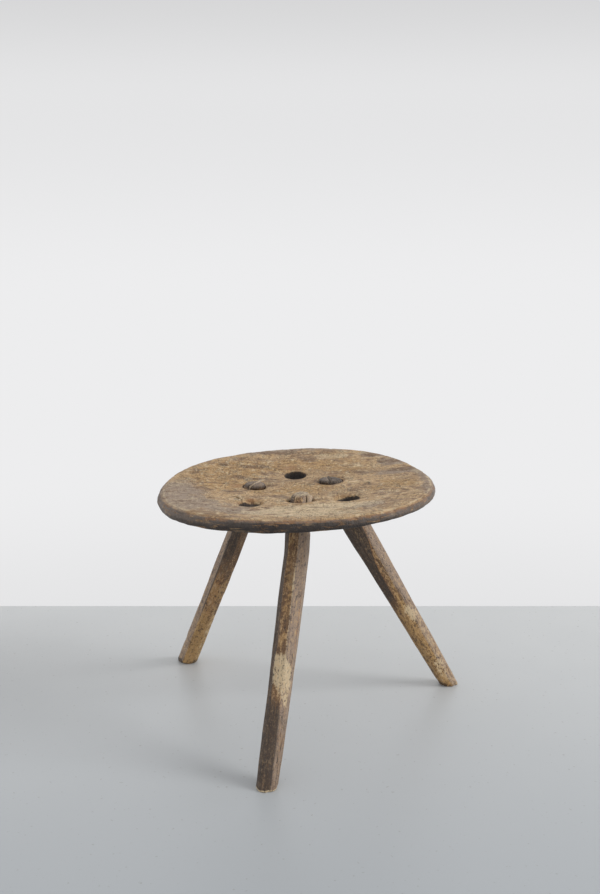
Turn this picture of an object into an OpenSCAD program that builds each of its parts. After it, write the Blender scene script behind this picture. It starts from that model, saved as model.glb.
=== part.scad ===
// Three leg stool: a dished plank seat on three splayed, hewn legs with wedged through tenons.
// Millimetres, +Z up, origin on the floor under the middle of the footprint.
// The front leg points towards -Y. Three more mortises, left by older legs, stay open.

/* [Seat] */
// Height of the seat's rim above the floor, at the seat's centre
rim_height = 345; // [320:5:400]
// Mean radius of the seat's outline
seat_radius = 194.5; // [190:0.5:200]
// Thickness of the plank under its middle
plank_thickness = 34; // [30:1:38]
// Thickness of the rim, where the underside is hewn away
rim_thickness = 16; // [14:1:20]
// Slope of the hewn underside between the middle and the rim, in degrees
underside_slope = 13.4; // [12:0.1:16]
// Depth of the hollow worn into the top
dish_depth = 11; // [9:0.5:12]
// Width of the lip left between the hollow and the outline
lip_width = 11.5; // [8:0.5:14]
// Sideways tilt of the seat, right side high, in degrees
seat_tilt = 1.75; // [0:0.25:2.5]

/* [Mortises] */
// Radius of every mortise
mortise_radius = 15; // [14:0.25:16]
// Splay of every mortise and leg away from upright, in degrees
splay = 29.4; // [27:0.2:30]
// Left tenon's centre in the seat's top, from the seat's centre
left_tenon = [-59.5, 18]; // [-70:0.5:70]
// Right tenon's centre in the seat's top, from the seat's centre
right_tenon = [49.5, 34.5]; // [-70:0.5:70]
// Front tenon's centre in the seat's top, from the seat's centre
front_tenon = [7, -55]; // [-70:0.5:70]
// Direction in which the left leg splays, in degrees from +X
left_azimuth = 128; // [124:1:132]
// Direction in which the right leg splays, in degrees from +X
right_azimuth = 13; // [10:1:18]
// Direction in which the front leg splays, in degrees from +X
front_azimuth = -103; // [-106:1:-98]
// Centre of the open mortise at the back
back_mortise = [-1.5, 71.5]; // [-75:0.5:75]
// Centre of the open mortise at the front left
front_left_mortise = [-61.5, -71]; // [-75:0.5:75]
// Centre of the open mortise at the front right
front_right_mortise = [69.5, -59]; // [-75:0.5:75]

/* [Legs] */
// Width of the left leg under its tenon, at its knee and at its foot
left_widths = [30, 30, 30.5]; // [24:0.5:38]
// Width of the right leg under its tenon, at its knee and at its foot
right_widths = [40, 33, 25.5]; // [24:0.5:42]
// Width of the front leg under its tenon, at its knee and at its foot
front_widths = [33.5, 31.5, 28.5]; // [24:0.5:38]
// Knee's place between the shoulder and the foot, as a share of the shaft
knee_share = 0.55; // [0.4:0.05:0.8]
// Gap left all round each tenon, wedge and shim
fit_gap = 0.06; // [0.05:0.01:0.1]
// How far the left tenon stands above the seat
left_proud = 4.5; // [1:0.5:6]
// How far the right tenon stands above the seat
right_proud = 3; // [1:0.5:6]
// How far the front tenon stands above the seat
front_proud = 8; // [5:0.5:9]

/* [Wedges] */
// Thickness of a wedge at its head
wedge_head = 4; // [3:0.5:5]
// Thickness of a wedge at its tip
wedge_tip = 1; // [0.8:0.1:2]
// Length of a wedge
wedge_length = 26; // [20:1:30]
// Direction of the left wedge across its tenon, in degrees from +X
left_wedge_azimuth = 60; // [45:5:90]
// Direction of the right wedge across its tenon, in degrees from +X
right_wedge_azimuth = 105; // [90:5:120]
// Distance from the front tenon's axis to the flat that its shim bears on
shim_offset = 8.5; // [7:0.5:10]
// Length of the shim below the seat's top
shim_length = 36; // [28:1:38]
// How far the shim stands above the seat
shim_proud = 5; // [2:0.5:6]

/* [Hidden] */
fine = 180;
reach = 120;
big = 1000;

// The outline is a circle with slow swellings: [waves round the rim, height in mm, angle of one crest]
swellings = [[1, 2, 90], [3, 5, -35], [4, 2.3, -42], [5, 1.3, -7]];
outline_step = 3;

function swelling(angle, index = 0) = index == len(swellings) ? 0
    : swellings[index][1] * cos(swellings[index][0] * (angle - swellings[index][2])) + swelling(angle, index + 1);
outline = [for (angle = [0 : outline_step : 360 - outline_step])
    (seat_radius + swelling(angle)) * [cos(angle), sin(angle)]];

// Radius where the flat middle of the underside meets its hewn slope
flat_radius = seat_radius - (plank_thickness - rim_thickness) / tan(underside_slope);
dish_radius = seat_radius - lip_width;
dish_sphere = (pow(dish_radius, 2) + pow(dish_depth, 2)) / (2 * dish_depth);

// Height of the worn top at a place given from the seat's centre
function top_height(place) = rim_height + place[0] * tan(seat_tilt)
    + dish_sphere - dish_depth - sqrt(pow(dish_sphere, 2) - pow(norm(place), 2));

// Where a leg's axis meets the floor, from the seat's centre, and half of its foot's size along X and Y
function foot(tenon, azimuth) = tenon + top_height(tenon) * tan(splay) * [cos(azimuth), sin(azimuth)];
function foot_half(width, azimuth) = width / 2
    * [norm([cos(azimuth) / cos(splay), sin(azimuth)]), norm([sin(azimuth) / cos(splay), cos(azimuth)])];

// The footprint runs from the left foot to the right foot, and from the front foot to the back of the seat
low_x = foot(left_tenon, left_azimuth)[0] - foot_half(left_widths[2], left_azimuth)[0];
high_x = foot(right_tenon, right_azimuth)[0] + foot_half(right_widths[2], right_azimuth)[0];
low_y = foot(front_tenon, front_azimuth)[1] - foot_half(front_widths[2], front_azimuth)[1];
high_y = max([for (point = outline) point[1]]);
seat_centre = -[low_x + high_x, low_y + high_y] / 2;

// Distance below the seat's top, along a leg, at which its tenon starts to swell into the shaft
tenon_length = plank_thickness / cos(splay);
shoulder_length = 24;

// Moves its children to a place in the seat's top, with +Z running up out of the seat along a mortise
module along(place, azimuth) {
    translate([seat_centre[0] + place[0], seat_centre[1] + place[1], top_height(place)])
        rotate([0, 0, azimuth]) rotate([0, -splay, 0]) children();
}

module mortise(place, azimuth) {
    along(place, azimuth) translate([0, 0, -reach / 2]) cylinder(h = reach, r = mortise_radius, $fn = fine);
}

// An open mortise leans straight out from the seat's centre
module open_mortise(place) {
    mortise(place, atan2(place[1], place[0]));
}

// Everything above the floor and below a height
module up_to(height) {
    translate([-big / 2, -big / 2, 0]) cube([big, big, height]);
}

module plank() {
    intersection() {
        translate([0, 0, -plank_thickness]) linear_extrude(plank_thickness) polygon(outline);
        translate([0, 0, -plank_thickness]) cylinder(h = plank_thickness, r1 = flat_radius,
            r2 = flat_radius + plank_thickness / tan(underside_slope), $fn = fine);
    }
}

module seat() {
    color([0.56, 0.44, 0.31])
    difference() {
        translate([seat_centre[0], seat_centre[1], rim_height]) rotate([0, -seat_tilt, 0]) difference() {
            plank();
            translate([0, 0, dish_sphere - dish_depth]) sphere(r = dish_sphere, $fn = 2 * fine);
        }
        mortise(left_tenon, left_azimuth);
        mortise(right_tenon, right_azimuth);
        mortise(front_tenon, front_azimuth);
        for (place = [back_mortise, front_left_mortise, front_right_mortise]) open_mortise(place);
    }
}

// A leg: a round tenon on an eight-sided hewn shaft, whose width changes at its knee
module leg(place, azimuth, widths, proud) {
    axis_length = top_height(place) / cos(splay);
    shaft_top = tenon_length + shoulder_length;
    knee = shaft_top + (axis_length - shaft_top) * knee_share;
    foot_end = axis_length + widths[2];
    foot_end_width = widths[1] + (widths[2] - widths[1]) * (foot_end - knee) / (axis_length - knee);
    tenon_radius = mortise_radius - fit_gap;
    corner = 0.5 / cos(22.5);
    intersection() {
        up_to(top_height(place) + proud);
        along(place, azimuth) {
            translate([0, 0, -shaft_top - 5]) cylinder(h = shaft_top + 35, r = tenon_radius, $fn = fine);
            rotate([0, 0, 22.5]) rotate_extrude($fn = 8)
                polygon([[0, -foot_end], [foot_end_width * corner, -foot_end], [widths[1] * corner, -knee],
                    [widths[0] * corner, -shaft_top], [tenon_radius - 1, -tenon_length], [0, -tenon_length]]);
        }
    }
}

// A tapered wedge across a tenon, grown on every side by a gap
module wedge(place, azimuth, wedge_azimuth, gap) {
    along(place, azimuth) rotate([0, 0, wedge_azimuth - azimuth]) rotate([90, 0, 90])
        translate([0, 0, -mortise_radius - 5]) linear_extrude(2 * mortise_radius + 10)
            polygon([[wedge_tip / 2 + gap, -wedge_length - gap], [wedge_head / 2 + gap, 0],
                [wedge_head / 2 + gap, 20], [-wedge_head / 2 - gap, 20],
                [-wedge_head / 2 - gap, 0], [-wedge_tip / 2 - gap, -wedge_length - gap]]);
}

// A wedge cut off level just above its tenon and flush with the mortise's wall
module driven_wedge(place, azimuth, wedge_azimuth, proud) {
    intersection() {
        wedge(place, azimuth, wedge_azimuth, 0);
        along(place, azimuth) translate([0, 0, -reach / 2])
            cylinder(h = reach, r = mortise_radius - fit_gap, $fn = fine);
        up_to(top_height(place) + proud + 0.5);
    }
}

// The segment of the front mortise beside the tenon's flat, down to a depth below the seat's top
module shim_space(offset, depth) {
    along(front_tenon, front_azimuth) translate([-mortise_radius, offset, -depth])
        cube([2 * mortise_radius, mortise_radius, reach]);
}

module front_leg() {
    color([0.42, 0.30, 0.20])
    difference() {
        leg(front_tenon, front_azimuth, front_widths, front_proud);
        shim_space(shim_offset, shim_length);
    }
}

module left_leg() {
    color([0.45, 0.34, 0.22])
    difference() {
        leg(left_tenon, left_azimuth, left_widths, left_proud);
        wedge(left_tenon, left_azimuth, left_wedge_azimuth, fit_gap);
    }
}

module right_leg() {
    color([0.47, 0.37, 0.27])
    difference() {
        leg(right_tenon, right_azimuth, right_widths, right_proud);
        wedge(right_tenon, right_azimuth, right_wedge_azimuth, fit_gap);
    }
}

module left_wedge() {
    color([0.58, 0.52, 0.44]) driven_wedge(left_tenon, left_azimuth, left_wedge_azimuth, left_proud);
}

module right_wedge() {
    color([0.36, 0.30, 0.25]) driven_wedge(right_tenon, right_azimuth, right_wedge_azimuth, right_proud);
}

module front_shim() {
    color([0.60, 0.54, 0.47])
    intersection() {
        shim_space(shim_offset + fit_gap, shim_length - fit_gap);
        along(front_tenon, front_azimuth) translate([0, 0, -reach / 2])
            cylinder(h = reach, r = mortise_radius - fit_gap, $fn = fine);
        up_to(top_height(front_tenon) + shim_proud);
    }
}

seat();
front_leg();
left_leg();
right_leg();
left_wedge();
right_wedge();
front_shim();
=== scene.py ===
import math

import bpy
import numpy as np
from mathutils import Matrix, Vector, noise


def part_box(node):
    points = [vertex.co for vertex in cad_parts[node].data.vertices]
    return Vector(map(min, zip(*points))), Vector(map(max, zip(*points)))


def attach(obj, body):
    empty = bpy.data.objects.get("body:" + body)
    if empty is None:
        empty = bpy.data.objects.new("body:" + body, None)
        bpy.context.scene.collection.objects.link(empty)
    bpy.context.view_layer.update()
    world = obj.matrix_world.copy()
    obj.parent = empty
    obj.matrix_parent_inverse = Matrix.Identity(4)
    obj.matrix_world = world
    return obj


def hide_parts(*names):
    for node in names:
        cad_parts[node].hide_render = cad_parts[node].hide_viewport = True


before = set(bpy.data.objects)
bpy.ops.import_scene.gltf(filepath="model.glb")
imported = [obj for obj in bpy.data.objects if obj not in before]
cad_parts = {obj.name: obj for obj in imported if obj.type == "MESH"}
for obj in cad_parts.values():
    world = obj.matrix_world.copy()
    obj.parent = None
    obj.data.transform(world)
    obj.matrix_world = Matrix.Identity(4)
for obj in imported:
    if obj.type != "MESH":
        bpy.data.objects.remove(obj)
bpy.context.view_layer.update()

bl_info = {
    "name": "Three Leg Stool",
    "version": (1, 0, 0),
    "blender": (4, 5, 0),
    "location": "View3D > Sidebar > Stool",
    "description": "Dished plank seat on three hewn legs, with wedged tenons and open mortises",
    "category": "Object",
}

MM = 0.001

# Swellings of the seat's outline: waves round the rim, height in mm, angle of one crest in degrees
SWELLINGS = ((1, 2, 90), (3, 5, -35), (4, 2.3, -42), (5, 1.3, -7))

# Open mortises: centre in the seat's top, from the seat's centre, in mm
OPEN_MORTISES = {"back": (-1.5, 71.5), "front_left": (-61.5, -71), "front_right": (69.5, -59)}

# Every mortise's mouth: how far it opens out in mm, and how much soot and painted shade darken its wall just
# below its lip
MOUTHS = {
    "back": (1.6, 0.65), "front_left": (2.4, 0.38), "front_right": (2.4, 0.78),
    "front_leg": (0.5, 0.6), "left_leg": (0.5, 0.6), "right_leg": (0.5, 0.6),
}

# Places where a mouth has broken away: the mortise, offset in mm, radius as a share of its own, and seed
GAPS = (
    ("front_leg", (-14.5, -5, 0), 0.42, 40.0), ("front_leg", (-9, -8, 0), 0.5, 43.0),
    ("front_leg", (14, -6, 0), 0.34, 47.0), ("front_left", (-1, -5.5, 0), 0.95, 51.0),
    ("front_right", (-4, -1.5, 0), 0.98, 53.0),
)

# The side from which the stool is usually seen: its front, from a little above
FACING = Vector((0, -0.96, 0.27))


def linear(red, green, blue):
    """A colour given from 0 to 255 a channel, as the linear values that shaders use."""
    return tuple(((c / 255 + 0.055) / 1.055) ** 2.4 if c > 10 else c / 3294.6 for c in (red, green, blue))


# ---------------------------------------------------------------- settings


def length(title, words, default):
    return bpy.props.FloatProperty(name=title, description=words, default=default, unit="LENGTH", precision=5)


def tint(title, words, *rgb):
    return bpy.props.FloatVectorProperty(
        name=title, description=words, default=linear(*rgb), subtype="COLOR", size=3, min=0, max=1
    )


def turn_of(title, words, degrees):
    angle = math.radians(degrees)
    return bpy.props.FloatProperty(name=title, description=words, default=angle, subtype="ANGLE")


class SeatSettings(bpy.types.PropertyGroup):
    """Sizes of the seat."""

    rim_height: length("Rim height", "Height of the rim above the floor", 345 * MM)
    radius: length("Radius", "Mean radius of the outline", 194.5 * MM)
    thickness: length("Thickness", "Thickness of the plank under its middle", 34 * MM)
    rim_thickness: length("Rim thickness", "Thickness left at the rim", 16 * MM)
    dish_depth: length("Hollow", "Depth of the hollow worn into the top", 11 * MM)
    rim_heel: length("Rim heel", "Extra depth of the rim at its front left, where less was hewn off", 4 * MM)
    crown: length("Crown", "Width of the worn rounding along the rim's upper edge", 8 * MM)
    lip_width: length("Lip", "Width between the hollow and the outline", 11.5 * MM)
    voxel: length("Voxel", "Size of the cells that the carved plank is meshed with", 1.85 * MM)
    tilt: turn_of("Tilt", "Sideways tilt, right side high", 1.75)
    underside_slope: turn_of("Underside slope", "Slope hewn under the rim", 13.4)


class LegSettings(bpy.types.PropertyGroup):
    """Sizes that the three legs share."""

    mortise_radius: length("Mortise radius", "Radius of every mortise", 15 * MM)
    slack: length("Slack", "Gap between a worn tenon and its mortise", 0.5 * MM)
    splay: turn_of("Splay", "Lean of every leg away from upright", 29.4)


class WoodColours(bpy.types.PropertyGroup):
    """Colours of the worn wood."""

    tan: tint("Tan", "Bare plank between its streaks", 191, 159, 118)
    umber: tint("Umber", "Darker clouds of the wood", 112, 84, 58)
    bark: tint("Bark", "Scores, strokes and cracks", 66, 49, 37)
    # Also paints a highlight along the seat's rim edge and the front leg's right edge
    pale: tint("Pale", "Wood rubbed down to its lightest", 214, 193, 158)
    grey: tint("Grey", "Weathered silver grey", 150, 133, 117)
    slate: tint("Slate", "Cool dark grey of the rim", 118, 106, 97)
    rust: tint("Rust", "Worn orange brown along edges", 150, 108, 70)
    # Also paints shade: down the mortises' walls, round the tenons' ends and on the legs' shaded facets
    soot: tint("Soot", "Old near-black grime", 56, 50, 47)
    brown: tint("Brown", "Handled brown patina of the legs", 118, 88, 60)
    gold: tint("Gold", "Golden brown, as on the lower legs", 178, 141, 90)
    # Also paints light on the legs' lit facets, over their weathered grey
    mauve: tint("Mauve", "Cool grey brown of a weathered facet", 157, 138, 122)


class StageSettings(bpy.types.PropertyGroup):
    """The room that the stool stands in."""

    # The floor grades from the near colour to the far one: painted light
    near_floor: tint("Near floor", "Floor in front of the stool", 168, 173, 177)
    far_floor: tint("Far floor", "Floor at its far edge", 200, 202, 202)
    speck: tint("Speck", "Specks of dirt on the floor", 128, 124, 118)
    wall: tint("Wall", "Wall behind, and the light that comes off the room", 237, 237, 238)
    fill: bpy.props.FloatProperty(
        name="Fill", description="Strength of the room's light", default=1.32, min=0
    )
    key: bpy.props.FloatProperty(
        name="Key", description="Power of the window's light", default=380, subtype="POWER", unit="POWER"
    )
    key_distance: length("Key distance", "From the stool to the window's light", 9.0)
    key_azimuth: turn_of("Key azimuth", "Direction that the window's light comes from", -10)
    key_elevation: turn_of("Key elevation", "Height of the window's light", 32)
    wall_distance: length("Wall distance", "From the seat's centre back to the floor's far edge", 405 * MM)
    camera_height: length("Camera height", "Height of the lens above the floor", 815.6 * MM)
    camera_distance: length("Camera distance", "Level, from the lens to the seat's centre", 1693.7 * MM)
    camera_pitch: turn_of("Camera pitch", "Downward tilt of the camera", 13.937)


# ---------------------------------------------------------------- numbers


def smooth(value, low, high):
    """0 below low, 1 above high, and a smooth step between them."""
    t = np.clip((value - low) / (high - low), 0, 1)
    return t * t * (3 - 2 * t)


def bump(value, centre, reach):
    return np.exp(-(((value - centre) / reach) ** 2))


def ripple(points, scale, seed, octaves=3):
    """Soft noise from about -1 to 1 at every point. Scale is in ripples a metre, or one for each axis."""
    places = points * np.asarray(scale) + seed
    return np.array([noise.fractal(Vector(place), 0.9, 2.0, octaves) for place in places])


def outline(angle, radius):
    """The seat's radius at an angle from its centre."""
    swell = sum(height * np.cos(waves * (angle - math.radians(crest))) for waves, height, crest in SWELLINGS)
    return radius + swell * MM


def around(angle, centre, reach):
    """1 at an angle round the rim and fading away from it. The angle is in radians, the others in degrees."""
    return bump(np.degrees(np.angle(np.exp(1j * (angle - math.radians(centre))))), 0, reach)


def axis_distance(points, place, up):
    """How far points are from an axis through a place."""
    off = points - np.array(place)
    along = off @ np.array(up)
    return np.sqrt(np.maximum((off**2).sum(1) - along**2, 0))


def crown_width(angle, crown):
    """The worn rounding is widest at the front left."""
    return crown * (1 + 0.35 * around(angle, -150, 50))


def patches(places, x, y):
    """Soft patches, each given as centre x, centre y, reach along x, reach along y and strength, in mm."""
    total = sum(share * bump(x, east, wide) * bump(y, north, deep) for east, north, wide, deep, share in places)
    return np.clip(total, 0, 1)


class Seat:
    """Where the seat lies in the frame, worked out from its node."""

    def __init__(self):
        sizes = bpy.context.scene.stool_seat
        self.sizes = sizes
        angles = np.radians(np.arange(0, 360, 3))
        rim = outline(angles, sizes.radius)
        low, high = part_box("seat")
        across, deep = rim * np.cos(angles), rim * np.sin(angles)
        self.centre = Vector((
            low.x - across.min() * math.cos(sizes.tilt),
            (low.y + high.y - deep.min() - deep.max()) / 2,
            sizes.rim_height,
        ))
        dish_radius = sizes.radius - sizes.lip_width
        self.dish_radius = dish_radius
        self.dish_sphere = (dish_radius**2 + sizes.dish_depth**2) / (2 * sizes.dish_depth)
        hewn = sizes.thickness - sizes.rim_thickness
        self.flat_radius = sizes.radius - hewn / math.tan(sizes.underside_slope)

    def hollow(self, rho):
        """Depth of the worn top below the rim's plane, at a distance from the centre."""
        inside = np.minimum(rho, self.dish_radius)
        return self.sizes.dish_depth - self.dish_sphere + np.sqrt(self.dish_sphere**2 - inside**2)

    def top(self, x, y):
        """The point on the worn top at a place given in mm from the seat's centre."""
        x, y = x * MM, y * MM
        drop = float(self.hollow(math.hypot(x, y)))
        return self.centre + Vector((x, y, x * math.tan(self.sizes.tilt) - drop))

    def placed(self, points):
        """Points of the level plank, moved and tilted to where the seat lies."""
        turn = np.array(Matrix.Rotation(-self.sizes.tilt, 3, "Y"))
        return points @ turn.T + np.array(self.centre)

    def unplaced(self, points):
        """Points in the frame, as points of the level plank."""
        turn = np.array(Matrix.Rotation(-self.sizes.tilt, 3, "Y"))
        return (points - np.array(self.centre)) @ turn


def leaning(azimuth, splay):
    """The direction up a leg's axis, and two across it: outwards, and 90 degrees round from that."""
    east, north = math.cos(azimuth), math.sin(azimuth)
    up = Vector((-math.sin(splay) * east, -math.sin(splay) * north, math.cos(splay)))
    out = Vector((math.cos(splay) * east, math.cos(splay) * north, math.sin(splay)))
    return up, out, up.cross(out)


# ---------------------------------------------------------------- meshes


def build(name, points, faces):
    """A new object from points in metres and faces, smooth shaded."""
    mesh = bpy.data.meshes.new(name)
    mesh.from_pydata([tuple(point) for point in points], [], faces)
    mesh.polygons.foreach_set("use_smooth", [True] * len(mesh.polygons))
    mesh.update()
    piece = bpy.data.objects.new(name, mesh)
    bpy.context.scene.collection.objects.link(piece)
    return piece


def skin(rings):
    """Points and faces of a closed skin over rings of the same count, the first and last drawn to a point."""
    count = len(rings[0])
    first, last = len(rings) * count, len(rings) * count + 1
    points = np.concatenate([*rings, [rings[0].mean(0)], [rings[-1].mean(0)]])
    faces = []
    for row in range(len(rings) - 1):
        near, far = row * count, (row + 1) * count
        for step in range(count):
            after = (step + 1) % count
            faces.append((near + step, far + step, far + after, near + after))
    end = (len(rings) - 1) * count
    for step in range(count):
        after = (step + 1) % count
        faces.append((first, step, after))
        faces.append((last, end + after, end + step))
    off = points - points.mean(0)
    volume = sum(np.dot(off[face[0]], np.cross(off[face[1]], off[face[2]])) for face in faces)
    if volume < 0:
        faces = [face[::-1] for face in faces]
    return points, faces


def settle(piece, modifiers):
    """Adds modifiers given as type and settings, and keeps what they make as the piece's own mesh."""
    for kind, settings in modifiers:
        modifier = piece.modifiers.new(kind.title(), kind)
        for key, value in settings.items():
            setattr(modifier, key, value)
    graph = bpy.context.evaluated_depsgraph_get()
    made = bpy.data.meshes.new_from_object(piece.evaluated_get(graph))
    piece.modifiers.clear()
    old = piece.data
    piece.data = made
    made.name = piece.name
    bpy.data.meshes.remove(old)
    made.materials.clear()
    made.polygons.foreach_set("use_smooth", [True] * len(made.polygons))


def carve(piece, cutters, after=()):
    """Cuts every cutter out of the piece, then runs any other modifiers, and removes the cutters."""
    cut = {"operation": "DIFFERENCE", "solver": "MANIFOLD"}
    settle(piece, [("BOOLEAN", {**cut, "object": cutter}) for cutter in cutters] + list(after))
    for cutter in cutters:
        spent = cutter.data
        bpy.data.objects.remove(cutter)
        bpy.data.meshes.remove(spent)


def vectors_of(items, key):
    """A vector kept in each item of one of Blender's lists, as rows."""
    flat = np.empty(len(items) * 3, np.float32)
    items.foreach_get(key, flat)
    return flat.reshape(-1, 3).astype(float)


def points_of(piece):
    return vectors_of(piece.data.vertices, "co")


def normals_of(piece):
    return vectors_of(piece.data.vertex_normals, "vector")


def move_to(piece, points):
    piece.data.vertices.foreach_set("co", points.astype(np.float32).ravel())
    piece.data.update()


def store(piece, name, values):
    """Keeps a number, or a vector, at every point of the piece for its material to read."""
    vector = np.ndim(values) == 2
    kind, key = ("FLOAT_VECTOR", "vector") if vector else ("FLOAT", "value")
    attribute = piece.data.attributes.new(name, kind, "POINT")
    attribute.data.foreach_set(key, np.asarray(values, np.float32).ravel())


def borer(name, centre, up, radius, reach, wobble, seed, flare=0.0):
    """A round cutter along an axis, with a slightly uneven wall that opens out towards the top."""
    across = up.orthogonal().normalized()
    other = up.cross(across)
    angles = np.linspace(0, 2 * math.pi, 96, endpoint=False)
    rings = []
    for share in np.linspace(-1, 1, 61):
        uneven = ripple(np.c_[np.cos(angles), np.sin(angles), np.full(96, share * 2)], 1.1, seed, 2)
        wide = radius + wobble * uneven + flare * smooth(share * reach, -10 * MM, 4 * MM)
        spokes = np.outer(wide * np.cos(angles), across) + np.outer(wide * np.sin(angles), other)
        rings.append(spokes + np.array(centre + up * (share * reach)))
    return build(name, *skin(rings))


def blade(name, seat, path, width, depth, seed):
    """A cutter for a crack: a jagged strip, widest in its middle, along a path given in mm."""
    steps = 14
    course = [Vector(point) for point in path]
    left, right, foot = [], [], []
    for step in range(steps + 1):
        share = step / steps * (len(course) - 1)
        index = min(int(share), len(course) - 2)
        place = course[index].lerp(course[index + 1], share - index)
        ahead = (course[index + 1] - course[index]).normalized()
        side = Vector((-ahead.y, ahead.x))
        jitter = noise.noise(Vector((step * 0.9, seed, 0))) * width * 0.7
        half = width / 2 * math.sin(math.pi * (step + 0.4) / (steps + 0.8)) ** 0.7
        for row, offset in ((left, jitter + half), (right, jitter - half), (foot, jitter)):
            spot = place + side * offset
            row.append(seat.top(spot.x, spot.y))
    lift, deep = Vector((0, 0, 3 * MM)), Vector((0, 0, depth * MM))
    rings = [np.array([a + lift, b + lift, b, low - deep, a]) for a, b, low in zip(left, right, foot)]
    return build(name, *skin(rings))


# ---------------------------------------------------------------- shader maths


class Wire:
    """A node socket that can stand in a sum."""

    def __init__(self, recipe, socket):
        self.recipe = recipe
        self.socket = socket

    def _math(self, operation, first, second):
        return self.recipe.make("ShaderNodeMath", {"operation": operation}, {0: first, 1: second})

    def __add__(self, other):
        return self._math("ADD", self, other)

    def __radd__(self, other):
        return self._math("ADD", other, self)

    def __sub__(self, other):
        return self._math("SUBTRACT", self, other)

    def __rsub__(self, other):
        return self._math("SUBTRACT", other, self)

    def __mul__(self, other):
        return self._math("MULTIPLY", self, other)

    def __rmul__(self, other):
        return self._math("MULTIPLY", other, self)

    def __abs__(self):
        return self.recipe.make("ShaderNodeMath", {"operation": "ABSOLUTE"}, {0: self})


class Recipe:
    """The node tree of a material or a world, built step by step."""

    def __init__(self, owner):
        owner.use_nodes = True
        self.owner = owner
        self.tree = owner.node_tree
        self.shader = self.tree.nodes.get("Principled BSDF") or self.tree.nodes["Background"]

    def feed(self, socket, value):
        """Sets a socket, or links a wire to it. A colour of three numbers gets its alpha."""
        if isinstance(value, Wire):
            self.tree.links.new(value.socket, socket)
        elif hasattr(socket.default_value, "__len__") and len(socket.default_value) == 4 and len(value) == 3:
            socket.default_value = (*value, 1)
        else:
            socket.default_value = value

    def make(self, kind, settings=None, sockets=None, output=0):
        """Any node: its type, its settings, its sockets' values or links, and the output that is wanted."""
        node = self.tree.nodes.new(kind)
        for key, value in (settings or {}).items():
            if key == "stops":
                self.set_stops(node.color_ramp, value)
            else:
                setattr(node, key, value)
        for key, value in (sockets or {}).items():
            self.feed(node.inputs[key], value)
        return Wire(self, node.outputs[output])

    def set_stops(self, ramp, stops):
        """Eases a ramp through stops, each a position from 0 to 1 and a colour."""
        ramp.interpolation = "EASE"
        while len(ramp.elements) < len(stops):
            ramp.elements.new(0.5)
        for element, (position, colour) in zip(ramp.elements, stops):
            element.position = position
            element.color = (*colour, 1)

    def read(self, name, vector=False):
        """A value kept at the mesh's points."""
        settings = {"attribute_name": name, "attribute_type": "GEOMETRY"}
        return self.make("ShaderNodeAttribute", settings, output=1 if vector else 2)

    def clouds(self, vector, along, across, seed, detail=4, rough=0.6, warp=0.0):
        """Noise from 0 to 1 about a middle of a half, with ripples a mm along and across the fibres."""
        scale = (along, across, across)
        stretched = self.make("ShaderNodeVectorMath", {"operation": "MULTIPLY"}, {0: vector, 1: scale})
        sockets = {"Vector": stretched, "W": seed, "Scale": 1.0, "Detail": detail, "Roughness": rough}
        sockets["Distortion"] = warp
        noisy = self.make("ShaderNodeTexNoise", {"noise_dimensions": "4D"}, sockets)
        return self.make("ShaderNodeMapRange", None, {"Value": noisy, "From Min": 0.28, "From Max": 0.72})

    def step(self, value, low, high):
        """0 below low, 1 above high, smooth between."""
        sockets = {"Value": value, "From Min": low, "From Max": high}
        return self.make("ShaderNodeMapRange", {"interpolation_type": "SMOOTHSTEP"}, sockets)

    def blend(self, colour, *layers):
        """A colour with others laid over it in turn, each given with its share from 0 to 1."""
        settings = {"data_type": "RGBA", "blend_type": "MIX", "clamp_factor": True}
        for over, share in layers:
            colour = self.make("ShaderNodeMix", settings, {0: share, 6: colour, 7: over}, output=2)
        return colour

    def torn(self, mask, clouds, raggedness=0.9):
        """A soft mask with a ragged edge."""
        return self.step(mask + (clouds - 0.5) * raggedness, 0.3, 0.7)

    def line(self, clouds, width):
        """Thin winding lines, where the noise crosses its middle."""
        return 1.0 - self.step(abs(clouds - 0.5), 0.0, width)


def finish_wood(recipe, colour, relief, roughness, depth):
    """Feeds a wood recipe's colour, relief and roughness into its shader."""
    recipe.feed(recipe.shader.inputs["Base Color"], colour)
    recipe.feed(recipe.shader.inputs["Roughness"], roughness)
    recipe.shader.inputs["Specular IOR Level"].default_value = 0.35
    sockets = {"Height": relief, "Distance": depth * MM, "Strength": 1.0}
    recipe.feed(recipe.shader.inputs["Normal"], recipe.make("ShaderNodeBump", None, sockets))
    return recipe.owner


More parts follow.
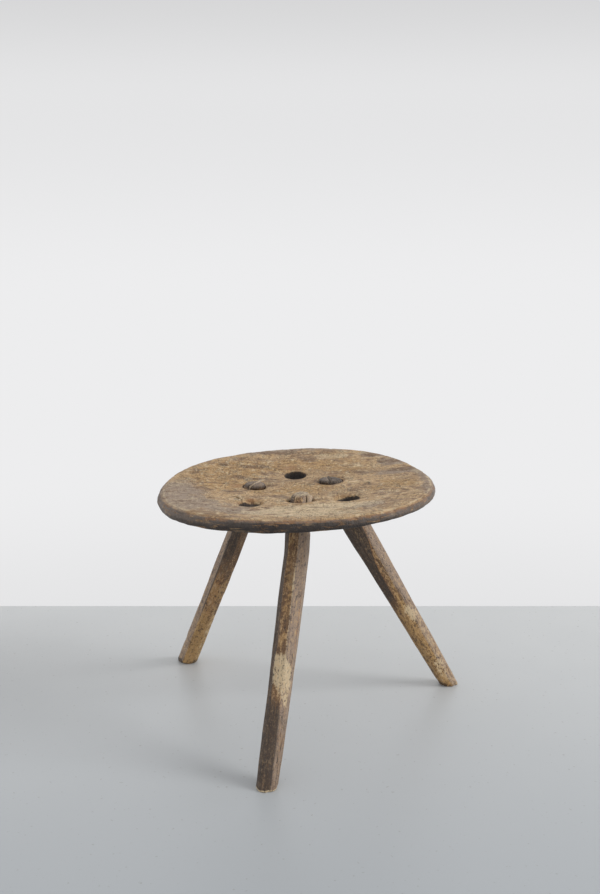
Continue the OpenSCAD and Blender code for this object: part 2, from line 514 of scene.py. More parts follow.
def plank_wood():
    """Bare weathered plank: mottled tan with dark strokes, grey and pale patches, a rim darkened with soot,
    soot and painted shade down the mortises' walls, and a pale rim edge that is partly a painted highlight.
    """
    colours = bpy.context.scene.stool_colours
    recipe = Recipe(bpy.data.materials.new("plank_wood"))
    clouds, read, step, torn = recipe.clouds, recipe.read, recipe.step, recipe.torn
    grain = read("grain", vector=True)
    broad = clouds(grain, 0.012, 0.018, 1.0, 3)
    mottle = clouds(grain, 0.034, 0.034, 2.0, 3, 0.6, 0.8)
    dapple = clouds(grain, 0.11, 0.075, 3.0, 3, 0.6, 0.8)
    fibres = clouds(grain, 0.030, 0.16, 4.0, 5, 0.7, 0.5)
    threads = clouds(grain, 0.22, 0.20, 5.0, 4, 0.7, 0.3)
    strokes = clouds(grain, 0.055, 0.050, 6.0, 2, 0.5, 2.0)
    scores = clouds(grain, 0.13, 0.09, 7.0, 2, 0.5, 1.4)
    layers = clouds(read("layers", vector=True), 0.055, 0.055, 8.0, 4, 0.65, 0.5)
    fine = dapple * 0.4 + fibres * 0.3 + threads * 0.3
    edge = layers * 0.75 + threads * 0.25
    grey = read("grey")
    lively = 1.0 - grey * 0.55
    stroke = recipe.line(strokes, 0.12) * step(dapple, 0.35, 0.6)
    score = recipe.line(scores, 0.16) * step(mottle, 0.40, 0.65)
    dark_line = (stroke * 0.6 + score * 0.5) * lively

    band = recipe.blend(
        colours.slate,
        (colours.soot, step(read("black") + (edge - 0.5) * 0.5, 0.0, 1.0)),
        (colours.brown, step(edge, 0.52, 0.78) * 0.75),
        (colours.tan, step(layers * 0.5 + fibres * 0.5, 0.56, 0.80) * 0.35),
        (colours.soot, step(edge, 0.46, 0.22) * 0.7),
    )
    colour = recipe.blend(
        colours.tan,
        (colours.umber, step(broad * 0.4 + mottle * 0.6, 0.55, 0.25) * 0.65),
        (colours.gold, torn(read("gold"), mottle) * 0.8),
        (colours.grey, torn(grey, mottle) * 0.88),
        (colours.pale, torn(read("pale"), fibres * 0.5 + mottle * 0.5) * 0.7),
        (colours.umber, torn(read("shade"), mottle * 0.5 + dapple * 0.5, 1.1) * 0.80),
        (colours.pale, step(mottle * 0.7 + threads * 0.3, 0.56, 0.80) * 0.35 * lively),
        (colours.pale, step(fine, 0.50, 0.74) * 0.80 * lively),
        (colours.umber, step(fine, 0.48, 0.24) * 0.95),
        (colours.umber, step(mottle * 0.6 + fibres * 0.4, 0.44, 0.24) * 0.62 * lively),
        (colours.bark, dark_line * 0.8),
        (band, step(read("band") + (edge - 0.5) * 0.8, 0.1, 0.9)),
        (colours.rust, step(read("rust") + (edge - 0.5) * 1.4, 0.20, 1.0) * 0.60),
        # Pale scratches, and a pale line along the rim's edge that is partly wear and partly a painted
        # highlight
        (colours.pale, torn(read("worn"), layers, 1.2) * 0.5),
        # Soot patches, and soot and painted shade down the mortises' walls
        (colours.soot, torn(read("soot"), dapple * 0.4 + threads * 0.6) * 0.94),
    )
    relief = mottle * 0.30 + dapple * 0.50 + fibres * 0.25 + threads * 0.25 - dark_line * 0.5
    return finish_wood(recipe, colour, relief, mottle * 0.2 + 0.55, 3.0)


def leg_wood(name, seed):
    """Hewn leg: brown patina over golden wood, with soot and grey, rusty and pale rubbed places, and painted
    shade and painted light on its facets and round its tenon's end.
    """
    colours = bpy.context.scene.stool_colours
    recipe = Recipe(bpy.data.materials.new(name))
    clouds, read, step, torn = recipe.clouds, recipe.read, recipe.step, recipe.torn
    grain = read("grain", vector=True)
    blotches = clouds(grain, 0.045, 0.075, seed, 5, 0.65, 0.4)
    flecks = clouds(grain, 0.18, 0.30, seed + 1, 4, 0.7, 0.8)
    fibres = clouds(grain, 0.035, 0.50, seed + 2, 4, 0.6, 0.5)
    specks = clouds(grain, 0.5, 0.7, seed + 3, 2, 0.6)
    rings = clouds(grain, 0.0, 0.22, seed + 4, 1, 0.5, 1.6)
    streaks = clouds(grain, 0.014, 0.15, seed + 5, 4, 0.65, 0.8)
    rough_edge = blotches * 0.45 + flecks * 0.55
    worn = streaks * 0.45 + blotches * 0.35 + flecks * 0.20
    glint = flecks * 0.5 + specks * 0.25 + fibres * 0.25
    # Soot, and painted shade on the legs' shaded facets and round the tenon's end
    soot_and_shade_mask = torn(read("soot"), rough_edge, 1.3)
    ringed = recipe.blend(colours.grey, (colours.bark, recipe.line(rings, 0.25) * 0.30 + flecks * 0.45))

    colour = recipe.blend(
        colours.umber,
        (colours.brown, step(fibres * 0.4 + blotches * 0.6, 0.30, 0.62)),
        (colours.gold, torn(read("gold"), rough_edge, 1.3) * 0.90),
        (colours.mauve, torn(read("grey"), blotches * 0.6 + fibres * 0.4) * 0.8),
        (colours.rust, torn(read("rust"), flecks, 1.2) * 0.65),
        (colours.umber, step(worn, 0.48, 0.26) * 0.60),
        (colours.grey, step(worn, 0.52, 0.74) * 0.50),
        (ringed, read("end") * 0.9),
        (colours.soot, soot_and_shade_mask * 0.78),
        (colours.pale, torn(read("pale"), rough_edge, 1.3) * 0.78),
        (colours.tan, step(glint, 0.50, 0.74) * 0.78 * (1.0 - soot_and_shade_mask * 0.65)),
        (colours.soot, step(glint, 0.48, 0.26) * 0.82),
    )
    relief = blotches * 0.3 + flecks * 0.5 + fibres * 0.4 + specks * 0.1
    return finish_wood(recipe, colour, relief, blotches * 0.2 + 0.45, 2.0)


def wedge_wood():
    """Split end grain of the wedges and the shim: grey, dry and fibrous."""
    colours = bpy.context.scene.stool_colours
    recipe = Recipe(bpy.data.materials.new("wedge_wood"))
    grain = recipe.read("grain", vector=True)
    fibres = recipe.clouds(grain, 0.05, 0.6, 31.0, 4, 0.6, 0.4)
    flecks = recipe.clouds(grain, 0.3, 0.4, 32.0, 4, 0.7, 0.3)
    colour = recipe.blend(
        colours.mauve,
        (colours.pale, recipe.step(fibres * 0.5 + flecks * 0.5, 0.30, 0.75) * 0.7),
        (colours.soot, recipe.torn(recipe.read("soot"), flecks) * 0.8),
    )
    return finish_wood(recipe, colour, fibres * 0.6 + flecks * 0.4, flecks * 0.1 + 0.68, 0.8)


# ---------------------------------------------------------------- seat


def plank_rings(seat, count):
    """Rings of the plank before it is bored, from the middle of the top to the middle underneath."""
    sizes = seat.sizes
    angles = np.linspace(0, 2 * math.pi, count, endpoint=False)
    rim = outline(angles, sizes.radius)
    rim_drop = sizes.thickness - (rim - seat.flat_radius) * math.tan(sizes.underside_slope)
    rim_drop = rim_drop + sizes.rim_heel * (around(angles, -140, 35) - 0.3)
    crown = crown_width(angles, sizes.crown)
    crown_drop, heel = crown * 0.75, 4 * MM
    profile = []
    for share in np.linspace(0.02, 1, 60):
        rho = (rim - crown) * share
        profile.append((rho, -seat.hollow(rho)))
    brow = profile[-1][1]
    for turn in np.radians(np.arange(12, 91, 13)):
        profile.append((rim - crown + crown * math.sin(turn), brow - crown_drop * (1 - math.cos(turn))))
    for share in (0.35, 0.7, 1):
        drop = crown_drop + (rim_drop - crown_drop - heel) * share
        profile.append((rim + 0.8 * MM * math.sin(math.pi * share), -drop))
    for turn in np.radians(np.arange(22.5, 91, 22.5)):
        rho = rim - heel * (1 - math.cos(turn))
        profile.append((rho, -rim_drop + heel - heel * math.sin(turn)))
    foot, low = profile[-1]
    for share in np.linspace(0.08, 1, 14):
        profile.append((foot + (seat.flat_radius - foot) * share, low + (-sizes.thickness - low) * share))
    for share in np.linspace(0.95, 0.03, 20):
        profile.append((seat.flat_radius * share, np.full(count, -sizes.thickness)))
    return [np.c_[rho * np.cos(angles), rho * np.sin(angles), z * np.ones(count)] for rho, z in profile]


def wear_plank(seat, piece, holes):
    """Moves the plank's surface by hand tool marks, a hewn rim, chips and worn hole lips."""
    sizes = seat.sizes
    points = points_of(piece)
    normals = normals_of(piece)
    local = seat.unplaced(points)
    x, y, z = local.T
    rho = np.hypot(x, y)
    angle = np.arctan2(y, x)
    inset = outline(angle, sizes.radius) - rho
    upward = smooth(normals[:, 2], 0.4, 0.8)
    downward = smooth(-normals[:, 2], 0.4, 0.8)
    sideways = (1 - upward) * (1 - downward) * smooth(inset, 14 * MM, 8 * MM)

    rough_middle = 0.5 + 0.5 * smooth(rho, 150 * MM, 70 * MM)
    shift = upward * 0.60 * MM * ripple(local, (24, 36, 30), 3.1)
    shift += upward * rough_middle * 0.45 * MM * ripple(local, (85, 85, 60), 8.4, 2)
    shift += downward * 0.9 * MM * ripple(local, (30, 55, 30), 12.7)
    shift += sideways * 0.9 * MM * ripple(local, (38, 38, 20), 21.5, 2)
    shift += sideways * 0.45 * MM * ripple(local, (130, 130, 40), 27.5, 2)
    corner = bump(inset, 4.0 * MM, 5 * MM) * smooth(z, -9 * MM, -2 * MM)
    chips = ripple(local, (85, 85, 60), 33.0, 2)
    shift -= corner * 1.4 * MM * smooth(chips, 0.25, 0.7)
    points += normals * shift[:, None]
    for place, up, radius in holes.values():
        distance = axis_distance(points, place, up) - radius
        near = upward * np.exp(-np.maximum(distance, 0) / (3.6 * MM))
        points[:, 2] -= near * 2.0 * MM * (1 + 0.5 * ripple(local, 90, 41.0, 2))
    move_to(piece, points)


# Tones on the seat's top: centre x, centre y, reach along x, reach along y and strength of each patch, in mm
SEAT_PATCHES = {
    "grey": (
        (-165, -25, 42, 55, 1.0), (-125, -100, 60, 40, 0.75), (-60, -125, 40, 22, 0.6),
        (118, 142, 32, 14, 1.0), (150, 102, 30, 24, 1.0), (152, 52, 46, 15, 1.0), (186, 25, 16, 44, 1.0),
        (184, -55, 16, 34, 0.9), (95, -110, 60, 26, 0.55), (-60, 178, 80, 16, 0.9), (60, 184, 50, 12, 0.6),
        (55, 60, 20, 14, 0.3), (20, 95, 60, 30, 0.15),
    ),
    "pale": (
        (0, -120, 70, 28, 1.0), (60, -95, 60, 18, 0.6), (-50, -45, 28, 12, 0.55), (100, 18, 22, 16, 0.5),
        (20, 40, 60, 14, 0.35), (-120, 60, 30, 10, 0.35), (40, -150, 90, 14, 0.6), (80, 100, 60, 14, 0.5),
        (60, 150, 60, 16, 0.6),
    ),
    "gold": (
        (-115, 60, 50, 55, 1.0), (-60, 110, 60, 30, 0.7), (30, 120, 90, 30, 0.7), (135, -10, 36, 36, 0.9),
        (15, 10, 50, 30, 0.8), (70, 85, 50, 30, 0.6), (-98, 14, 34, 24, 0.9), (-20, -20, 50, 14, 0.6),
    ),
    "rust": ((-8, 104, 20, 10, 0.9), (-86, 18, 9, 13, 1.0), (-62, -50, 12, 8, 0.9), (38, 30, 12, 8, 0.5)),
    "soot": ((100, 10, 14, 14, 0.46), (-62, 42, 20, 3, 0.3)),
    "worn": ((-126, -142, 14, 5, 1.0), (120, -150, 26, 6, 1.0)),
    "shade": (
        (-88, 146, 18, 10, 0.8), (-65, 110, 24, 9, 1.0), (-86, 63, 14, 9, 0.9), (-120, 28, 30, 4, 0.9),
        (-92, -12, 20, 8, 1.0), (-34, 20, 14, 8, 0.8), (22, 20, 10, 8, 0.7), (-60, 52, 24, 6, 0.8),
        (80, -20, 16, 14, 0.7), (-17, -44, 8, 9, 0.8), (-38, -104, 8, 7, 0.7), (-150, 80, 12, 22, 0.6),
        (-140, -40, 20, 8, 0.4), (70, 70, 20, 12, 0.4), (112, 60, 10, 20, 0.5), (40, 165, 50, 8, 0.5),
        (106, 0, 24, 18, 0.6), (-110, 120, 14, 10, 0.7), (-20, 172, 50, 9, 0.8), (118, 142, 30, 9, 0.9),
        (148, 104, 30, 10, 0.9), (158, 60, 34, 9, 0.95), (180, 14, 11, 24, 0.6), (186, -60, 8, 30, 0.5),
    ),
}


def mark_plank(seat, piece, holes):
    """Keeps the grain's direction and the places of each tone at the plank's points."""
    sizes = seat.sizes
    points = points_of(piece)
    local = seat.unplaced(points)
    x, y, z = (local / MM).T
    rho = np.hypot(x, y)
    angle = np.arctan2(y, x)
    inset = outline(angle, sizes.radius) / MM - rho
    depth = -z
    topside = smooth(depth, 14, 12)
    below = depth - seat.hollow(rho * MM) / MM
    grain_bend = 6 * np.sin(x / 70) + 3 * np.sin(x / 23 + y / 60)
    store(piece, "grain", np.c_[x, y + grain_bend, z])
    store(piece, "layers", np.c_[x, y, 5 * depth])

    tones = {name: patches(places, x, y) * topside for name, places in SEAT_PATCHES.items()}
    crown = crown_width(angle, sizes.crown / MM)
    front, right = around(angle, -95, 34), around(angle, -38, 30)
    near_side = smooth(np.sin(angle), 0.4, -0.1)
    band = smooth(inset, crown - 0.5, crown - 4.5) * smooth(depth, 1.0, 3.0)
    band = np.maximum(band, smooth(depth, 13, 17))
    black = 0.12 + 0.85 * front * smooth(depth, 2.5, 5.5) + 0.20 * right + 0.35 * smooth(depth, 8, 13)
    tones["worn"] *= 0.30
    # A pale line along the rim's upper edge on its near side: partly wear, partly a painted highlight
    tones["worn"] += 0.62 * bump(inset, crown - 2, 1.6) * topside * near_side * (1 - 0.6 * front)
    arris = near_side * bump(depth, 2.6, 2.4) * smooth(inset, 11, 6)
    rust = tones["rust"] + arris * (0.25 + 0.40 * front + 0.45 * right)
    soot = tones["soot"]
    for name, (place, up, radius) in holes.items():
        distance = (axis_distance(points, place, up) - radius) / MM
        inside = smooth(distance, 2.8, 0.6)
        # Soot and painted shade darken each mortise's wall below its lip, and more so further down
        grime_and_shade = MOUTHS[name][1] * smooth(below, -0.3, 1.4) + 0.5 * smooth(below, 2.5, 5.5)
        soot = np.maximum(soot, inside * grime_and_shade)
        rust = np.maximum(rust, inside * 0.6 * smooth(below, 9, 5))
        rust = np.maximum(rust, smooth(distance, 6, 1) * 0.40 * topside)
    for name, tone in {**tones, "rust": rust, "soot": soot, "band": band, "black": black}.items():
        store(piece, name, np.clip(tone, 0, 1))


def make_seat():
    """The seat: bored, meshed finely, worn and cracked."""
    seat = Seat()
    legs = bpy.context.scene.stool_legs
    piece = build("worn_seat", *skin(plank_rings(seat, 480)))
    move_to(piece, seat.placed(points_of(piece)))
    holes = {}
    for name, (x, y) in OPEN_MORTISES.items():
        up = leaning(math.atan2(y, x), legs.splay)[0]
        holes[name] = (seat.top(x, y), up, legs.mortise_radius)
    for leg in LEGS:
        up = leaning(math.radians(leg["azimuth"]), legs.splay)[0]
        holes[leg["name"]] = (seat.top(*leg["tenon"]), up, legs.mortise_radius + 0.2 * MM)
    cutters = []
    for index, (name, (place, up, radius)) in enumerate(holes.items()):
        flare = MOUTHS[name][0] * MM
        cutters.append(borer(f"borer_{index}", place, up, radius, 60 * MM, 0.35 * MM, index * 3.7, flare))
    for name, offset, share, seed in GAPS:
        place, up, radius = holes[name]
        cutters.append(borer("gap", place + Vector(offset) * MM, up, radius * share, 20 * MM, 0.4 * MM, seed))
    remesh = ("REMESH", {"mode": "VOXEL", "voxel_size": seat.sizes.voxel, "use_smooth_shade": True})
    carve(piece, cutters, [remesh, ("SMOOTH", {"factor": 0.5, "iterations": 2})])
    wear_plank(seat, piece, holes)
    cracks = [
        blade("crack_left", seat, ((-87, -36), (-78, -48), (-72, -60)), 3.6, 7, 1.3),
        blade("crack_front", seat, ((20, -60), (30, -61), (41, -63)), 1.8, 6, 2.6),
        blade("crack_right", seat, ((66, 22), (80, 14), (96, 12)), 0.9, 3, 4.1),
        blade("check_front", seat, ((-30, -84), (-8, -86), (14, -83)), 0.8, 2.5, 5.2),
        blade("check_rim", seat, ((120, -90), (142, -93), (160, -92)), 0.9, 3, 6.7),
    ]
    carve(piece, cracks)
    mark_plank(seat, piece, holes)
    piece.data.materials.append(plank_wood())
    return piece


# ---------------------------------------------------------------- legs

# Each leg: its tenon's centre in mm from the seat's centre, the azimuth that it splays in, its width in mm
# at the shoulder, knee and foot, its sideways bend at the same places, the turn of its facets in degrees,
# the tenon's height above the seat, the tenon end's profile as share of radius and drop in mm, and how
# sooty and how pale the tenon's end is, and how far down it the end grain reaches in mm.
LEGS = (
    {
        "name": "front_leg", "tenon": (7, -55), "azimuth": -103, "widths": (33.0, 31.2, 27.4),
        "bend": (2.4, 1.3, -2.2), "facet_turn": -17, "proud": 7,
        "end": ((1, 7.0), (0.97, 4.6), (0.86, 2.0), (0.66, 0.3), (0.3, 0.0)),
        "end_soot": 0.0, "end_pale": 0.50, "end_reach": 1.6,
    },
    {
        "name": "left_leg", "tenon": (-59.5, 18), "azimuth": 128, "widths": (29.4, 29.6, 30),
        "bend": (1.6, 0.8, -0.8), "facet_turn": 2.5, "proud": 4.8,
        "end": ((1, 4.2), (0.96, 2.6), (0.84, 1.0), (0.5, 0.0)),
        "end_soot": 0.22, "end_pale": 0.1, "end_reach": 5,
    },
    {
        "name": "right_leg", "tenon": (49.5, 34.5), "azimuth": 13, "widths": (39.6, 32.6, 25),
        "bend": (0.0, 0.6, 0.9), "facet_turn": -4, "proud": 3,
        "end": ((1, 2.8), (0.96, 1.5), (0.82, 0.4), (0.5, 0.0)),
        "end_soot": 0.50, "end_pale": 0.0, "end_reach": 5,
    },
)
AROUND = 128
SHAFT_RINGS = 300


def quad_through(values, share):
    """A smooth curve through three values at shares 0, 0.5 and 1."""
    start, middle, end = values
    return start + share * (4 * middle - 3 * start - end) + share**2 * 2 * (start - 2 * middle + end)


def leg_frame(leg):
    """Where a leg's axis meets the seat's top, its directions, its length and the angle that faces front."""
    seat = Seat()
    place = seat.top(*leg["tenon"])
    up, out, side = leaning(math.radians(leg["azimuth"]), bpy.context.scene.stool_legs.splay)
    facing = math.atan2(FACING.dot(side), FACING.dot(out))
    return place, up, out, side, place.z / up.z, facing


def hewn_radius(leg, turn, down, reach, seed):
    """The leg's radius at an angle from its front, at a distance in metres down its axis."""
    legs = bpy.context.scene.stool_legs
    seat_sizes = bpy.context.scene.stool_seat
    tenon_end = seat_sizes.thickness / math.cos(legs.splay)
    share = np.clip((down - tenon_end) / (reach - tenon_end), 0, 1)
    half = quad_through(leg["widths"], share) / 2 * MM
    crisp = 34 - 20 * share
    total = np.zeros_like(turn)
    for facet in range(8):
        centre = math.radians(leg["facet_turn"] + 45 * facet)
        flat = 1 + 0.022 * math.sin(facet * 2.4 + seed)
        wander = 0.015 * np.sin(down / (31 * MM) + facet * 1.7 + seed)
        facing = np.maximum(np.cos(turn - centre + 0.05 * np.sin(down / (60 * MM) + facet)), 1e-3)
        total += (facing / (flat + wander)) ** crisp
    shaft = half * total ** (-1 / crisp)
    tenon = legs.mortise_radius - legs.slack
    return tenon + (shaft - tenon) * smooth(down, tenon_end - 4 * MM, tenon_end + 9 * MM)


def leg_rings(leg, seed):
    """Rings from the middle of the tenon's end, down the shaft, to the middle of the foot."""
    place, up, out, side, reach, facing = leg_frame(leg)
    theta = np.linspace(0, 2 * math.pi, AROUND, endpoint=False)
    turn = theta - facing
    outs = np.outer(np.cos(theta), out) + np.outer(np.sin(theta), side)
    spot, axis = np.array(place), np.array(up)
    sway = np.array(side * math.cos(facing) - out * math.sin(facing))
    end_height = place.z + leg["proud"] * MM

    def at(radius, down):
        share = np.clip(down / reach, 0, 1)
        bent = np.outer(quad_through(leg["bend"], share) * MM * smooth(down, 35 * MM, 80 * MM), sway)
        return spot - np.outer(down, axis) + outs * radius[:, None] + bent

    def on_level(radius, height):
        """Points at a height, found by moving along the axis."""
        down = np.full(AROUND, (place.z - height) / up.z)
        for _ in range(6):
            here = radius * hewn_radius(leg, turn, np.maximum(down, 0), reach, seed)
            down += (at(here, down)[:, 2] - height) / up.z
        return down, here

    rings = []
    for share, drop in reversed(leg["end"]):
        down, radius = on_level(share, end_height - drop * MM)
        rings.append(at(radius, down))
    top, _ = on_level(1.0, end_height - leg["end"][0][1] * MM)
    floor, _ = on_level(1.0, 0.0)
    rounding = 4 * MM
    for share in np.linspace(0, 1, SHAFT_RINGS)[1:]:
        down = top + (floor - top) * share
        radius = hewn_radius(leg, turn, np.maximum(down, 0), reach, seed)
        left = np.clip((floor - down) / rounding, 0, 1)
        radius = radius - rounding * 0.55 * (1 - np.sqrt(np.maximum(1 - (1 - left) ** 2, 0)))
        rings.append(at(radius, down))
    rim = rings[-1]
    rim[:, 2] = 0
    for share in (0.9, 0.6, 0.3):
        rings.append(rim.mean(0) + (rim - rim.mean(0)) * share)
    return rings


def wear_leg(leg, piece, seed):
    """Knife marks, dents and fibres over the shaft, fading out at the floor."""
    place, up, out, side, reach, facing = leg_frame(leg)
    points = points_of(piece)
    normals = normals_of(piece)
    off = points - np.array(place)
    down = -(off @ np.array(up))
    local = np.c_[off @ np.array(out), off @ np.array(side), down]
    shift = 0.45 * MM * ripple(local, (45, 45, 16), seed)
    shift += 0.20 * MM * ripple(local, (330, 330, 28), seed + 5, 2)
    shift -= 0.7 * MM * smooth(ripple(local, (70, 70, 40), seed + 9, 2), 0.35, 0.75)
    shift *= smooth(points[:, 2], 0.0, 5 * MM) * (0.25 + 0.75 * smooth(down, 30 * MM, 60 * MM))
    points += normals * shift[:, None]
    low = points[:, 2] < 14 * MM
    middle = points[low].mean(0)
    chips = smooth(ripple(points, (110, 110, 45), seed + 13, 2), 0.0, 0.5)
    chips *= smooth(points[:, 2], 13 * MM, 2 * MM)
    points[:, :2] -= (points[:, :2] - middle[:2]) * (0.17 * chips)[:, None]
    move_to(piece, points)


def mark_leg(leg, piece):
    """Keeps the grain's direction and the places of each tone at the leg's points."""
    place, up, out, side, reach, facing = leg_frame(leg)
    points = points_of(piece)
    off = (points - np.array(place)) / MM
    down = -(off @ np.array(up))
    across, beside = off @ np.array(out), off @ np.array(side)
    store(piece, "grain", np.c_[down, across, beside])
    turn = np.degrees(np.angle(np.exp(1j * (np.arctan2(beside, across) - facing))))
    tones = LEG_TONES[leg["name"]](turn, down, points[:, 2] / MM)
    below_end = place.z / MM + leg["proud"] - points[:, 2] / MM
    end = smooth(below_end, leg["end_reach"] + 0.6, leg["end_reach"] - 0.6) * smooth(down, 12, 4)
    axis_distance = np.hypot(across, beside)
    # The end darkens towards its edge: painted shade in the gap between tenon and mortise
    ends = {"soot": leg["end_soot"] + 0.45 * smooth(axis_distance, 10, 14), "pale": leg["end_pale"]}
    for name in ("grey", "gold", "rust", "soot", "pale"):
        tone = np.clip(tones.get(name, np.zeros_like(down)), 0, 1)
        store(piece, name, tone * (1 - end) + ends.get(name, 0) * end)
    store(piece, "end", end)


def window(value, low, high, soft):
    """1 between low and high, with soft edges."""
    return smooth(value, low - soft, low + soft) * (1 - smooth(value, high - soft, high + soft))


def front_tones(turn, down, height):
    """Front leg: dark speckled front, darker left side and cool right facet that are partly painted shade and
    painted light, rubbed patch at mid height and dark lower part.
    """
    cool = window(turn, 8, 130, 3)
    dark_side = window(turn, -130, -41, 4)
    tenon = smooth(down, 10, 4)
    patch_top = 212 + 0.30 * np.maximum(turn + 10, 0)
    patch_base = 252 + 0.42 * np.clip(turn + 35, 0, 80)
    patch = smooth(down, patch_top - 7, patch_top + 7) * smooth(down, patch_base + 12, patch_base - 8)
    return {
        # Cool right facet: weathered grey, and painted light where the key light falls
        "grey": cool * (0.95 - 0.4 * smooth(down, 285, 330)),
        "pale": patch * window(turn, -52, 52, 12) * (0.80 - 0.24 * smooth(down, 235, 275))
        + 0.8 * window(height, 0, 3, 1)
        # A pale line down the edge of the right facet: partly wear, partly a painted highlight
        + 0.62 * bump(turn, 8, 4) * window(down, 90, 220, 20) + 0.35 * tenon,
        "gold": window(turn, -40, 8, 6) * window(down, 50, 208, 10) * 0.40 + 0.30 * window(down, 305, 365, 15)
        + 0.5 * tenon,
        "rust": 0.55 * bump(turn, 52, 5) * window(down, 120, 215, 12) + 0.3 * tenon,
        # Soot, with the darker left side partly painted shade
        "soot": 0.72 * dark_side + 0.72 * smooth(down, 262, 290) * window(turn, -140, 12, 8)
        + 0.35 * smooth(down, 286, 300) * cool + 0.3 * window(down, 60, 130, 20) * window(turn, -40, 8, 5),
    }


def left_tones(turn, down, height):
    """Left leg: a cool left facet that is partly painted light, dark brown above, fading to gold below, with a
    chipped dark foot.
    """
    strip = window(turn, -92, -24, 4)
    face = window(turn, -24, 27, 4)
    return {
        "gold": (0.18 + 0.36 * smooth(down, 130, 215) + 0.26 * smooth(down, 215, 300)) * (1 - 0.4 * strip),
        "soot": 0.72 * face * (1 - smooth(down, 110, 215))
        + 0.42 * window(turn, 27, 110, 6) * (1 - smooth(down, 70, 190))
        + 0.85 * smooth(height, 13, 5) * (1 - window(turn, -25, 35, 10)) + 0.5 * smooth(height, 5, 2)
        + 0.8 * bump(turn, -24, 5) * (1 - smooth(down, 240, 300)),
        # Cool left strip: weathered grey, and painted light
        "grey": 0.78 * strip,
        "rust": 0.55 * window(down, 170, 265, 16) * window(turn, -24, 30, 8),
        "pale": 0.42 * smooth(down, 205, 260) * window(turn, 40, 110, 8)
        + 0.28 * smooth(down, 300, 350) * strip,
    }


def right_tones(turn, down, height):
    """Right leg: a dark left facet and a cool right facet that are partly painted shade and painted light, a
    golden ridge, and a tan rubbed lower half.
    """
    upper = 1 - smooth(down, 188, 246)
    ridge = -20 + 34 * (1 - smooth(down, 80, 160))
    return {
        # Soot, with the dark left facet partly painted shade
        "soot": 0.80 * smooth(ridge + 3 - turn, -3, 3) * smooth(turn, -165, -140) * upper
        + 0.40 * window(turn, -140, -48, 8) * (1 - upper) + 0.7 * bump(turn, -14, 9) * bump(down, 298, 7)
        + 0.7 * window(turn, -120, -20, 12) * smooth(height, 12, 5)
        + 0.3 * bump(turn, 20, 14) * bump(down, 318, 14),
        # Cool right facet: weathered grey, and painted light
        "grey": window(turn, 12, 120, 4) * (0.9 - 0.25 * smooth(down, 200, 230)),
        "rust": 0.75 * bump(turn, ridge + 5, 6) * upper
        + 0.35 * bump(turn, -45, 14) * window(down, 220, 300, 20),
        "gold": 0.40 * upper * window(turn, -25, 12, 5) + 0.66 * (1 - upper)
        + 0.35 * bump(turn, 0, 14) * bump(down, 215, 22),
        "pale": 0.62 * bump(turn, 6, 20) * bump(down, 240, 22)
        + 0.62 * bump(turn, -6, 24) * bump(down, 345, 22)
        + 0.3 * (1 - upper) * window(turn, 10, 70, 12),
    }


LEG_TONES = {"front_leg": front_tones, "left_leg": left_tones, "right_leg": right_tones}

# Wedges: the leg each is driven into, and its direction across the tenon in degrees
WEDGES = (("left_wedge", "left_leg", 57), ("right_wedge", "right_leg", 98))
WEDGE_HEAD = 3.2 * MM
WEDGE_TIP = 1 * MM
WEDGE_LENGTH = 26 * MM

# Distance in mm from the front tenon's axis to the flat that its shim bears on
SHIM_OFFSET = 8.5


def wedge_block(name, leg, azimuth, grow, rise):
    """A tapered block across a tenon. Grown and raised it is the cutter for the kerf, otherwise the wedge."""
    place, up, out, side, _, _ = leg_frame(leg)
    radius = bpy.context.scene.stool_legs.mortise_radius - bpy.context.scene.stool_legs.slack
    local = math.radians(azimuth - leg["azimuth"])
    run = out * math.cos(local) + side * math.sin(local)
    thick = up.cross(run)
    half_run = radius * (1.2 if grow else 0.93)
    rings = []
    for share in np.linspace(0, 1, 14):
        down = -rise + (WEDGE_LENGTH + rise) * share
        taper = np.clip(down / WEDGE_LENGTH, 0, 1)
        half = (WEDGE_HEAD + (WEDGE_TIP - WEDGE_HEAD) * taper) / 2 + grow
        ring = []
        for turn in np.linspace(0, 2 * math.pi, 48, endpoint=False):
            c, s = math.cos(turn), math.sin(turn)
            x = half_run * math.copysign(abs(c) ** 0.25, c)
            y = half * math.copysign(abs(s) ** 0.25, s)
            ragged = 0 if grow else 0.25 * MM * noise.noise(Vector((x * 300, y * 300, share * 9)))
            ring.append(place - up * down + run * (x + ragged) + thick * (y + ragged * 0.5))
        rings.append(np.array(ring))
    return build(name, *skin(rings))


def make_legs():
    """The three legs, each with its kerf or its flat for the shim."""
    pieces = []
    for index, leg in enumerate(LEGS):
        seed = 11.0 + 7 * index
        piece = build("hewn_" + leg["name"], *skin(leg_rings(leg, seed)))
        wear_leg(leg, piece, seed)
        for name, driven, azimuth in WEDGES:
            if driven == leg["name"]:
                carve(piece, [wedge_block("kerf", leg, azimuth, 0.25 * MM, 25 * MM)])
        if leg["name"] == "front_leg":
            carve(piece, [shim_space(leg)])
        mark_leg(leg, piece)
        piece.data.materials.append(leg_wood("wood_of_" + leg["name"], 10.0 + 5 * index))
        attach(piece, "root")
        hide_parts(leg["name"])
        pieces.append(piece)
    return pieces


def mark_wedge(piece, leg, soot):
    """Keeps the grain's direction and the soot that darkens a wedge."""
    place, up, out, side, _, _ = leg_frame(leg)
    off = (points_of(piece) - np.array(place)) / MM
    store(piece, "grain", np.c_[-(off @ np.array(up)), off @ np.array(out), off @ np.array(side)])
    store(piece, "soot", np.full(len(off), soot))


